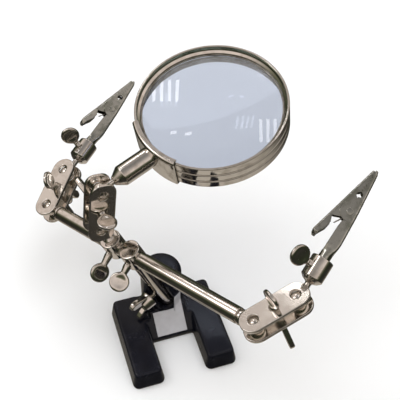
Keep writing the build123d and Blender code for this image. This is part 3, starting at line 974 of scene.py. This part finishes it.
@dataclass
class PostAndBar:
    """The post, the bar, the two drilled heads and their thumb screws."""

    rod: float = 3.5
    post_up: float = 43.4
    post_in: float = 8.0
    head_radius: float = 4.9
    head_half: float = 5.2
    bore: float = 3.56
    bar_left: float = 57.0
    bar_right: float = 69.3
    cap: float = 8.3
    waist: float = 3.3
    stud: float = 16.2
    ball: float = 3.5
    neck: float = 1.35
    collar: float = 2.9
    post_spade_middle: float = 13.1
    sleeve_spade_middle: float = 14.1
    post_spade_side: tuple = (-0.76, 0.58, 0.29)
    sleeve_spade_side: tuple = (-0.86, 0.10, 0.50)

    def seats(self) -> tuple[Seat, Seat, Seat]:
        """The post head, the bar and the sleeve, with Z along the post, the bar and the post."""
        at, up = joint("head_turn")
        _, along = joint("bar_slide")
        sleeve_at, _ = joint("sleeve_turn")
        return Seat.of(at, up, along), Seat.of(at, along, up), Seat.of(sleeve_at, up, along)

    def head_shape(self, plug: bool) -> Surface:
        """A short turned cylinder, drilled across for the bar."""
        r, h = self.head_radius, self.head_half
        dome = [(r, h - 0.22), (r * 0.75, h - 0.10), (r * 0.5, h - 0.045), (r * 0.25, h - 0.01), (0, h)]
        corners = [(0, -h), (r, -h), *dome]
        radii = [0, 0.55, 0.5, 0, 0, 0, 0]
        if plug:
            neck, foot = self.rod - 0.05, -h - 1.55
            corners = [(0, foot), (neck, foot), (neck, -h), *corners[1:]]
            radii = [0, 0.2, 0.3, 0.55, 0.5, 0, 0, 0, 0]
        body = lathe(rounded(corners, radii, closed=False), 128)
        cutter = lathe([(0, -9), (self.bore, -9), (self.bore, 9), (0, 9)], 96)
        across = cutter.mapped([(0, 1, 0), (0, 0, 1), (1, 0, 0)])
        return drilled(body, across)

    def ball_piece(self, plug_end: float) -> Surface:
        """End of the bar: ball, neck, a turned cap and a plug that goes up the tube."""
        rest = rounded([(self.neck, 3.3), (self.neck, 5.2), (self.rod - 0.1, 6.5), (self.rod - 0.1, 7.5),
                        (2.45, 7.5), (2.45, plug_end), (0, plug_end)], [0, 0.8, 0.25, 0.25, 0, 0, 0],
                       closed=False)
        return lathe(np.vstack([ball_arc(self.ball, self.neck), rest]), 96)

    def build(self) -> None:
        """All of the post and bar."""
        head, bar, sleeve = self.seats()
        foot, top = -self.post_up - self.post_in, -self.head_half - 1.6
        rod = rounded([(0, foot), (self.rod, foot), (self.rod, top), (0, top)], [0, 0.4, 0.25, 0],
                      closed=False)
        piece("post", lathe(rod, 96), head, Finish.NICKEL, "post", "post_rod")
        piece("post_head_drilled", self.head_shape(True), head, Finish.NICKEL, "post_head", "post_head")
        piece("sleeve_drilled", self.head_shape(False), sleeve, Finish.NICKEL, "sleeve", "magnifier_sleeve")
        self.tube(bar)
        self.stud_piece(sleeve)
        self.collar_screws()
        for side, sign in (("left", 1), ("right", -1)):
            point, axis = joint(f"{side}_ball_turn")
            seat = Seat.of(point, axis * sign, (0, 0, 1))
            piece(f"{side}_bar_end", self.ball_piece(self.cap + 8), seat, Finish.NICKEL,
                  f"{side}_bar_ball", f"{side}_bar_ball")

    def tube(self, bar: Seat) -> None:
        """The bar, a tube turned down a little where the heads run on it."""
        low, high = -self.bar_left + self.cap, self.bar_right - self.cap
        profile = rounded([(self.rod - 1, low), (self.rod, low), (self.rod, -18.6), (self.waist, -18.4),
                           (self.waist, 6.7), (self.rod, 6.9), (self.rod, high), (self.rod - 1, high)],
                          [0.15, 0.3, 0.1, 0.05, 0.05, 0.12, 0.3, 0.15], 4)
        piece("bar_tube", lathe(profile, 128), bar, Finish.NICKEL, "crossbar", "crossbar_tube")

    def stud_piece(self, sleeve: Seat) -> None:
        """The sleeve's stud: a small collar, the neck and the ball on top, its arc upside down."""
        h, root = self.head_half, self.rod + 0.1
        arc = ball_arc(self.ball, self.neck)[::-1] * (1, -1) + (0, self.stud)
        foot = rounded([(0, root), (self.neck, root), (self.neck, h + 0.05), (self.collar, h + 0.05),
                        (self.collar, h + 1.2), (self.neck, h + 2.4), (self.neck, 12.9)],
                       [0, 0, 0, 0.3, 0.4, 0.8, 0], closed=False)
        piece("sleeve_stud", lathe(np.vstack([foot, arc]), 96), sleeve, Finish.NICKEL, "sleeve_stud",
              "sleeve_ball_stud")

    def collar_screws(self) -> None:
        """The two thumb screws that lock the heads to the bar."""
        for at, side, middle in (
                ("post", self.post_spade_side, self.post_spade_middle),
                ("sleeve", self.sleeve_spade_side, self.sleeve_spade_middle)):
            name = f"{at}_thumb_screw"
            shape = SpadeScrew(tip=3.6, seat=5.3, middle=middle)
            piece(f"{name}_spade", shape.surface(), Seat.of(*joint(f"{at}_screw_turn"), side),
                  Finish.NICKEL, name, name)


# ------------------------------------------------------------------ ball clamps


@dataclass
class BallClamp:
    """Two drilled plates that a screw and a wing nut pull onto a pair of balls.

    Args:
        name: which clamp, as its nodes are named.
        far_joint: the joint at the second ball.
        spade_turn: of the grip about the screw, degrees.
        nut_turn: of the wings about the screw, degrees.
        corner: radius of the plates' ends.
    """

    name: str
    far_joint: str
    spade_turn: float
    nut_turn: float
    corner: float = 5.65
    length: float = 30.65
    width: float = 11.4
    thick: float = 1.6
    inner: float = 2.75
    hole: float = 2.2

    def plate(self, low: float, high: float) -> Surface:
        """One plate with its two ball holes and its screw hole."""
        x, y = self.length / 2, self.width / 2
        outline = rounded([(-x, -y), (x, -y), (x, y), (-x, y)], self.corner, 20)
        pitch = (self.length - self.width) / 2
        holes = [ring(self.hole, 64, -pitch), ring(2.0, 48), ring(self.hole, 64, pitch)]
        return slab(outline, holes, low, high, 0.32)

    def build(self) -> None:
        """The plates, the screw and the nut."""
        near, face = joint(f"{self.name}_clamp_swing")
        far, _ = joint(self.far_joint)
        seat = Seat.of((near + far) / 2, face, far - near)
        outer = self.inner + self.thick
        body = f"{self.name}_clamp"
        for place, low, high in (("front", self.inner, outer), ("back", -outer, -self.inner)):
            piece(f"{body}_{place}", self.plate(low, high), seat, Finish.NICKEL, body,
                  f"{body}_{place}_plate")
        screw = SpadeScrew(tip=-outer - 6.1, seat=outer + 0.03, middle=outer + 5.3, width=8.6)
        piece(f"{body}_spade", screw.surface(), seat.turned(self.spade_turn), Finish.NICKEL,
              f"{body}_screw", f"{body}_thumb_screw")
        nut = Seat.of(seat.origin, -face, seat.turned(self.nut_turn).x)
        piece(f"{body}_wings", Wings(outer + 0.03).surface(), nut, Finish.NICKEL, f"{body}_nut",
              f"{body}_wing_nut")


# ------------------------------------------------------------------ magnifier


@dataclass
class Magnifier:
    """The handle, its ball, the saddle, the beaded hoop and the lens."""

    face: tuple = (-0.155, -0.152, 0.976)
    reach: float = 59.5
    ball: float = 3.5
    neck: float = 1.35
    cone_from: float = 6.2
    body_from: float = 11.0
    body_to: float = 25.2
    radius: float = 4.65
    hoop: float = 33.4
    hoop_height: float = 13.5
    wall: float = 1.2
    bead: float = 1.0
    bands: int = 3
    groove: float = 0.55
    lip: float = 1.05
    glass_edge: float = 2.4
    glass_middle: float = 7.4
    glass_at: float = 1.3
    shaft_end: float = 12.0
    handle_bore: float = 1.5
    saddle_half: float = 25.0
    saddle_thick: float = 0.9

    def hoop_profile(self) -> np.ndarray:
        """Half section of the hoop: a thin lip over the glass, and bands parted by narrow grooves."""
        low, high = -self.hoop_height / 2, self.hoop_height / 2
        inside, floor = self.hoop - self.bead - self.wall, self.hoop - self.bead
        pitch = self.hoop_height / self.bands
        ledge = self.glass_at + self.glass_edge / 2 + 1.0
        thin = self.hoop - self.lip
        corners = [(inside, low), (inside, ledge), (thin, ledge + 1.0), (thin, high)]
        radii = [0.3, 0.3, 0.5, 0.3]
        for k in range(self.bands):
            top = high - k * pitch
            upper = top if k == 0 else top - self.groove / 2
            lower = top - pitch if k == self.bands - 1 else top - pitch + self.groove / 2
            if k > 0:
                corners.append((floor, upper))
                radii.append(0.15)
            corners += [(self.hoop, upper), (self.hoop, lower)]
            radii += [0.8, 0.8]
            if k < self.bands - 1:
                corners.append((floor, lower))
                radii.append(0.15)
        return rounded(corners, radii, 5)

    def glass_profile(self) -> np.ndarray:
        """Half section of the lens: a sphere's arc above and below a short cylinder.

        The sphere's radius is (edge radius^2 + sag^2) / (2 sag).
        """
        edge = self.hoop - self.bead - self.wall - 0.12
        sag = (self.glass_middle - self.glass_edge) / 2
        sphere = (edge ** 2 + sag ** 2) / (2 * sag)
        r = np.linspace(0, edge, 60)
        height = np.sqrt(sphere ** 2 - r ** 2) - (sphere - self.glass_middle / 2)
        lower = np.stack([r, self.glass_at - height], axis=1)
        upper = np.stack([r, self.glass_at + height], axis=1)[::-1]
        return np.vstack([lower, upper])

    def saddle(self) -> Surface:
        """Sheet bent round the hoop, with a lip over each rim.

        Its section is a shallow channel of radius and height, laid out in equal steps of its
        length and swept through an arc.
        """
        reach = self.hoop_height / 2 + 0.75
        near, far = self.hoop - 1.6, self.hoop + 0.75
        path = rounded([(near, reach), (far, reach), (far, -reach), (near, -reach)], [0, 0.9, 0.9, 0],
                       closed=False)
        fine = np.linspace(0, 1, 60)
        steps = np.append(0, np.cumsum(np.linalg.norm(np.diff(path, axis=0), axis=1)))
        section = np.stack([np.interp(fine * steps[-1], steps, path[:, k]) for k in (0, 1)], axis=1)
        turn = radians(self.saddle_half) * np.linspace(-1, 1, 60)
        r, z = section[:, 0][None, :], section[:, 1][None, :]
        a = turn[:, None]
        return shell(space(r * np.cos(a), r * np.sin(a), z), self.saddle_thick)

    def build(self) -> None:
        """All of the magnifier."""
        at, _ = joint("handle_swing")
        _, along = joint("magnifier_roll")
        seat = Seat.of(at, along, self.face)
        shaft = np.vstack([ball_arc(self.ball, self.neck), [(self.neck, self.shaft_end), (0, self.shaft_end)]])
        piece("handle_ball_turned", lathe(shaft, 96), seat, Finish.NICKEL, "handle_ball", "handle_ball")
        bore = self.handle_bore
        body = rounded([(bore, self.cone_from), (self.radius, self.body_from), (self.radius, self.body_to),
                        (bore, self.body_to)], [0.25, 0.9, 0.2, 0], 8)
        piece("handle", lathe(body, 128), seat, Finish.NICKEL, "magnifier", "magnifier_handle")
        lens = Seat.of(at + along * self.reach, self.face, -along)
        piece("hoop", lathe(self.hoop_profile(), 256), lens, Finish.NICKEL, "magnifier", "lens_hoop")
        piece("lens", lathe(self.glass_profile(), 192), lens, Finish.GLASS, "magnifier", "lens_glass",
              sharp=30.0)
        rim = self.glass_at + self.glass_edge / 2 + 0.45
        keeper = ring(0.42, 20, self.hoop - self.bead - self.wall - 0.5, rim)
        piece("keeper_ring", lathe(keeper, 192), lens, Finish.SPRING, "magnifier", "lens_retainer")
        # A thin dark olive band over the hoop's inner wall: painted reflection of the dark surroundings, not a
        # real part.
        inside, low, high = self.hoop - self.lip, rim + 1.6, self.hoop_height / 2 - 0.35
        painted_reflection_band = rounded([(inside - 0.12, low), (inside + 0.1, low), (inside + 0.1, high),
                          (inside - 0.12, high)], 0.05, 3)
        piece("hoop_wall_painted_reflection", lathe(painted_reflection_band, 256), lens, Finish.PAINTED_REFLECTION, "magnifier")
        piece("saddle", self.saddle(), lens, Finish.NICKEL, "magnifier", "lens_bracket")
        dress(Finish.NICKEL, "bracket_screw")


# ------------------------------------------------------------------ clip arms


@dataclass
class ClipArm:
    """A holder, its side screw and an alligator clip.

    Along the clip Z runs from the ball to the jaw tips, and X towards the thumb lever.

    Args:
        side: left or right.
        grip_side: which way the holder screw's grip spreads.
    """

    side: str
    grip_side: tuple
    ball: float = 3.5
    neck: float = 1.35
    collar_from: float = 9.2
    collar_to: float = 19.2
    collar: float = 4.7
    barrel: float = 2.35
    barrel_from: float = 12.6
    sheet: float = 0.5
    rivet_z: float = 40.5
    rivet_x: float = 1.0
    tip: float = 60.5
    tail: float = 25.4
    half_width: float = 2.55
    tooth: float = 1.0
    tooth_pitch: float = 1.45
    cheek_radius: float = 4.4
    waist_radius: float = 2.7
    spring_turns: float = 4.25
    spring_radius: float = 1.42
    spring_wire: float = 0.27

    def holder(self) -> Surface:
        """Ball, neck and bored collar, turned from one bar."""
        hole, end = self.barrel + 0.3, self.barrel_from - 0.5
        rest = rounded([(self.neck, 3.4), (self.neck, self.collar_from - 1.2), (3.3, self.collar_from - 0.3),
                        (self.collar, self.collar_from + 1.0), (self.collar, self.collar_to),
                        (hole, self.collar_to), (hole, end), (0, end)],
                       [0, 0.8, 0.6, 0.6, 0.55, 0.3, 0.2, 0], closed=False)
        return lathe(np.vstack([ball_arc(self.ball, self.neck), rest]), 96)

    def section(self, s: np.ndarray, floor: np.ndarray, rim: np.ndarray, half: np.ndarray,
                bend: float) -> tuple[np.ndarray, np.ndarray]:
        """A channel's section: across the floor, round the bend and up the wall.

        The distance along the half section is |s| times its whole length. Up to half - bend it
        lies on the floor, then on a quarter circle of radius bend, then on the wall.

        Args:
            s: from -1 to 1 across the sheet, as a row.
            floor: height of the floor at each station.
            rim: height of the walls' edges at each station.
            half: half the channel's width at each station.
            bend: radius of the bends.

        Returns:
            X and Y over the grid.
        """
        up = np.sign(rim - floor)
        flat = half - bend
        curve = flat + bend * pi / 2
        length = curve + np.maximum(np.abs(rim - floor) - bend, 0.02)
        t = np.abs(s) * length
        angle = np.clip((t - flat) / bend, 0, pi / 2)
        wall = np.maximum(t - curve, 0)
        x = floor + up * (bend * (1 - np.cos(angle)) + wall)
        y = np.sign(s) * (np.minimum(t, flat) + bend * np.sin(angle))
        return x, y

    def spine(self, z: np.ndarray) -> np.ndarray:
        """Height of the lever's straight back, drooping a little at the tail."""
        slope = (9.9 - 1.6) / (self.tip - 26.2)
        droop = 1.1 * np.clip((self.tail + 2.2 - z) / 2.2, 0, 1) ** 2
        return 1.6 + slope * (self.tip - z) - droop

    def parting(self, z: np.ndarray, side: float) -> np.ndarray:
        """Line between the jaws, with teeth: a triangle wave that fades towards the rivet."""
        line = np.interp(z, [47.0, 52.0, self.tip], [1.3, 1.2, 0.75])
        wave = np.abs(((z / self.tooth_pitch) % 1.0) * 2 - 1) - 0.5
        drop = 1.15 * np.exp(-((z - 48.4) / 1.1) ** 4)
        return line + self.tooth * wave * smooth_step(z, 49.6, 51.0) - side * (0.11 + drop)

    def lower_jaw(self) -> Surface:
        """Rolled barrel that opens into a channel with round cheeks at the rivet."""
        z = np.linspace(self.barrel_from, self.tip, 260)[:, None]
        s = np.linspace(-1, 1, 49)[None, :]
        floor = np.interp(z, [20, 27, self.rivet_z, self.tip - 1.5, self.tip],
                          [-2.35, -2.9, -2.2, -0.55, 0.05])
        low_wall = np.interp(z, [20, 25, 33, 36.5, 37.5], [2.0, 2.1, 2.0, 1.6, 1.6])
        reach = self.cheek_radius ** 2 - (z - self.rivet_z - 0.4) ** 2
        cheek = self.rivet_x + np.sqrt(np.clip(reach, 0, None)) - 0.3
        wall = np.where((z > 36.2) & (z < 45), cheek, low_wall)
        rim = np.where(z > 44.6, np.minimum(self.parting(z, 1), wall.max()), wall)
        rim = np.where((z > 44.0) & (z < 47.5), np.maximum(cheek, 1.2), rim)
        half = np.interp(z, [24, 34, 46, self.tip], [2.5, 2.62, 2.55, 1.75])
        u_x, u_y = self.section(s, floor, rim, half, 0.7)
        around = pi * 0.95 * s
        tube_x, tube_y = -self.barrel * np.cos(around), self.barrel * np.sin(around)
        blend = smooth_step(z, 19.5, 25.5)
        x = tube_x * (1 - blend) + u_x * blend
        y = tube_y * (1 - blend) + u_y * blend
        return shell(space(x, y, z), self.sheet)

    def upper_jaw(self) -> Surface:
        """Straight-backed jaw: toothed walls, a waist inside the cheeks and a lipped lever."""
        z = np.linspace(self.tail, self.tip - 0.5, 220)[:, None]
        s = np.linspace(-1, 1, 45)[None, :]
        back = self.spine(z)
        lip = back - np.interp(z, [self.tail, 27.0, 30.0, 33.0, 35.5, 36.5], [1.1, 2.1, 3.0, 2.8, 1.3, 1.2])
        around, waist = z - self.rivet_z, self.waist_radius
        deep = self.rivet_x - np.sqrt(np.clip(waist ** 2 - around ** 2, 0, None))
        wall = np.interp(z, [36.3, 38.2, 43.2, 47.0], [5.4, 0.9, 0.9, 1.3])
        rim = np.where(z < 36.3, lip, np.minimum(wall, np.where(np.abs(around) < waist, deep, 99)))
        rim = np.where(z > 47.0, self.parting(z, -1), rim)
        half = np.interp(z, [self.tail, 27.0, 32, 36, 46, self.tip], [1.9, 2.9, 2.7, 1.98, 1.98, 1.6])
        x, y = self.section(s, back, rim, half, 0.55)
        return shell(space(x, y, z), self.sheet * 0.9)

    def rivet(self) -> Surface:
        """Pin with a domed head at each side."""
        edge, head, pin = self.half_width + self.sheet / 2, 1.5, 0.85
        half = np.array([(pin, edge - 0.1), (head, edge - 0.1), (head, edge + 0.35), (0, edge + 0.5)])
        profile = rounded(np.vstack([half[::-1] * (1, -1), half]), [0, 0.3, 0, 0, 0, 0, 0.3, 0],
                          closed=False)
        turned = lathe(profile, 48).mapped([(0, 0, 1), (1, 0, 0), (0, 1, 0)])
        return turned.moved(self.rivet_x, 0, self.rivet_z)

    def spring(self) -> Surface:
        """Torsion spring: a helix of turns about the rivet, with a straight leg at each end."""
        turns, coil = self.spring_turns, self.spring_radius
        t = np.linspace(0, turns, 160)
        angle = 2 * pi * t + pi
        helix = np.stack([self.rivet_x + coil * np.cos(angle), -1.05 + 2.1 * t / turns,
                          self.rivet_z + coil * np.sin(angle)], axis=1)
        leg = np.linspace(1, 0, 20)[:, None]
        first = helix[0] + leg * np.array([-0.2, 0, -9.0])
        last = helix[-1] + leg[::-1] * np.array([3.2, 0, -5.5])
        return wire(np.vstack([first[:-1], helix, last[1:]]), self.spring_wire)

    def build(self) -> None:
        """The holder, its screw and the whole clip."""
        s = self.side
        at, along = joint(f"{s}_clip_turn")
        _, across = joint(f"{s}_jaw_open")
        seat = Seat.of(at, along, np.cross(across, along))
        piece(f"{s}_holder_turned", self.holder(), seat, Finish.NICKEL, f"{s}_holder", f"{s}_clip_holder")
        screw_seat = Seat.of(*joint(f"{s}_holder_screw_turn"), self.grip_side)
        screw = SpadeScrew(shank=1.5, tip=2.5, seat=6.6, middle=11.2)
        piece(f"{s}_holder_spade", screw.surface(), screw_seat, Finish.NICKEL, f"{s}_holder_screw",
              f"{s}_holder_thumb_screw")
        for name, shape, finish, body, sharp in (
                ("lower_jaw", self.lower_jaw(), Finish.SATIN, "clip", 50.0),
                ("upper_jaw", self.upper_jaw(), Finish.SATIN, "upper_jaw", 50.0),
                ("rivet", self.rivet(), Finish.SATIN, "clip", 40.0),
                ("spring", self.spring(), Finish.SPRING, "clip", 40.0)):
            piece(f"{s}_{name}", shape, seat, finish, f"{s}_{body}", f"{s}_clip_{name}", sharp=sharp)


# ------------------------------------------------------------------ studio


@dataclass(frozen=True)
class LightRow:
    """A rectangular soft light, or a row of them side by side.

    Args:
        name: of the light, with a number after it in a row.
        at: where the first stands, metres.
        aim: the point they face, metres.
        size: width and height of each, metres.
        radiance: brightness of a face, where white paper in full light is 1.
        mirrored: whether bright metal and glass show it.
        count: how many.
        step: from each to the next, metres.
        upright: the direction the height follows, squared to the aim.
    """

    name: str
    at: tuple
    aim: tuple
    size: tuple
    radiance: float
    mirrored: bool = True
    count: int = 1
    step: tuple = (0.0, 0.0, 0.0)
    upright: tuple = (0.0, 0.0, 1.0)

    def build(self) -> None:
        """Each light, of power radiance * pi * area."""
        for k in range(self.count):
            name = f"{self.name}_{k}" if self.count > 1 else self.name
            at = np.array(self.at) + np.array(self.step) * k
            data = bpy.data.lights.new(name, "AREA")
            data.shape = "RECTANGLE"
            data.size, data.size_y = self.size
            data.energy = self.radiance * pi * self.size[0] * self.size[1]
            made = bpy.data.objects.new(name, data)
            bpy.context.scene.collection.objects.link(made)
            back = unit(at - np.array(self.aim))
            right = unit(np.cross(self.upright, back))
            matrix = Matrix(np.stack([right, np.cross(back, right), back], axis=1).tolist()).to_4x4()
            matrix.translation = Vector(at)
            made.matrix_world = matrix
            made.visible_glossy = self.mirrored


@dataclass
class Studio:
    """Pale floor, soft lights, a graded surround and the camera.

    Three soft lights do the lighting. The narrow window, skylight and lamp rows are there for the
    lens and the bright metal to mirror.
    """

    azimuth: float = 18.02
    elevation: float = 47.59
    roll: float = 0.32
    stand_at: tuple = (-57.2, -233.9, 340.6)
    lens: float = 76.5
    floor_tone: tuple = (0.84, 0.865, 0.885)
    floor_half: float = 15.0
    stand_middle: tuple = (0.0, 0.0, 0.05)
    lens_middle: tuple = (0.01, 0.04, 0.09)
    window_upright: tuple = (-0.40, -0.75, 0.52)
    skylight_upright: tuple = (-0.31, -0.93, 0.26)

    def lights(self) -> None:
        """The three soft lights and the three rows."""
        LightRow("overhead", (0.0, 0.1, 1.1), (0.0, 0.05, 0.0), (1.3, 1.1), 2.75, False).build()
        LightRow("key", (-0.55, 0.25, 0.75), self.stand_middle, (0.20, 0.45), 2.6).build()
        LightRow("front", (0.45, -0.75, 0.60), self.stand_middle, (0.5, 0.4), 1.2, False).build()
        LightRow("window", (-0.150, 0.650, 0.738), self.lens_middle, (0.015, 0.145), 6.0, count=4,
                 step=(0.028, -0.0163, 0.0178), upright=self.window_upright).build()
        LightRow("skylight", (0.199, 0.237, 0.948), self.lens_middle, (0.015, 0.14), 5.0, count=4,
                 step=(0.032, -0.0087, -0.0047), upright=self.skylight_upright).build()
        LightRow("lamp", (-0.184, 0.387, 0.889), self.lens_middle, (0.030, 0.018), 6.0, count=2,
                 step=(0.059, -0.038, 0.027), upright=self.window_upright).build()

    def camera(self) -> None:
        """The camera: forward, right and up from its azimuth and elevation, then rolled."""
        a, e, r = radians(self.azimuth), radians(self.elevation), radians(self.roll)
        forward = np.array([sin(a) * cos(e), cos(a) * cos(e), -sin(e)])
        right = np.array([cos(a), -sin(a), 0.0])
        up = np.cross(right, forward)
        right, up = cos(r) * right + sin(r) * up, -sin(r) * right + cos(r) * up
        data = bpy.data.cameras.new("camera")
        data.lens = self.lens
        data.sensor_width = 36.0
        data.clip_start, data.clip_end = 0.01, 20.0
        made = bpy.data.objects.new("camera", data)
        bpy.context.scene.collection.objects.link(made)
        turned = np.stack([right, up, -forward], axis=1)
        matrix = Matrix(turned.tolist()).to_4x4()
        matrix.translation = Vector(self.stand_at) * MM
        made.matrix_world = matrix
        bpy.context.scene.camera = made

    def surround(self) -> None:
        """World light: a warm bright ceiling, a dark olive horizon and a dim bench below."""
        world = bpy.data.worlds.new("studio")
        bpy.context.scene.world = world
        world.use_nodes = True
        tree = world.node_tree
        tree.nodes.clear()
        place, split = node(tree, "ShaderNodeTexCoord"), node(tree, "ShaderNodeSeparateXYZ")
        height = node(tree, "ShaderNodeMapRange", From_Min=-1.0, From_Max=1.0)
        ramp, glow = node(tree, "ShaderNodeValToRGB"), node(tree, "ShaderNodeBackground")
        bands = ((0.0, (0.50, 0.46, 0.40)), (0.11, (0.36, 0.33, 0.28)), (0.16, (0.05, 0.046, 0.040)),
                 (0.38, (0.028, 0.028, 0.022)), (0.57, (0.032, 0.038, 0.022)), (0.68, (0.15, 0.15, 0.10)),
                 (0.76, (0.76, 0.67, 0.61)), (0.88, (0.60, 0.54, 0.50)), (1.0, (0.22, 0.21, 0.20)))
        steps = ramp.color_ramp.elements
        for k, (at, colour) in enumerate(bands):
            step = steps[k] if k < 2 else steps.new(at)
            step.position = at
            step.color = (*colour, 1)
        join(tree, (place, "Generated", split, "Vector"), (split, "Z", height, "Value"),
             (height, "Result", ramp, "Fac"), (ramp, "Color", glow, "Color"),
             (glow, "Background", node(tree, "ShaderNodeOutputWorld"), "Surface"))

    def floor(self) -> None:
        """A wide pale floor, which bright metal doesn't mirror."""
        principled("floor_paper", Base_Color=(*self.floor_tone, 1), Roughness=0.7)
        mesh = bpy.data.meshes.new("floor")
        h = self.floor_half
        mesh.from_pydata([(-h, -h, 0), (h, -h, 0), (h, h, 0), (-h, h, 0)], [], [(0, 1, 2, 3)])
        mesh.materials.append(bpy.data.materials["floor_paper"])
        plane = bpy.data.objects.new("floor", mesh)
        bpy.context.scene.collection.objects.link(plane)
        plane.visible_glossy = False

    def build(self) -> None:
        """All of the studio."""
        self.camera()
        self.surround()
        self.floor()
        self.lights()
        bpy.context.scene.view_settings.view_transform = "Standard"
        bpy.context.scene.view_settings.exposure = 0.0


def main() -> None:
    """Builds the studio and every sub-assembly in order."""
    logging.basicConfig(level=logging.INFO, format="%(message)s")
    Studio().build()
    build_finishes()
    Base().build()
    PostAndBar().build()
    BallClamp("magnifier", "handle_swing", 90.0, 45.0, corner=4.6).build()
    BallClamp("left", "left_holder_swing", 20.0, 15.0).build()
    BallClamp("right", "right_holder_swing", 97.0, 85.0).build()
    Magnifier().build()
    ClipArm("left", (0.70, 0.02, 0.70)).build()
    ClipArm("right", (0.77, 0.36, 0.53)).build()


if __name__ == "__main__":
    main()
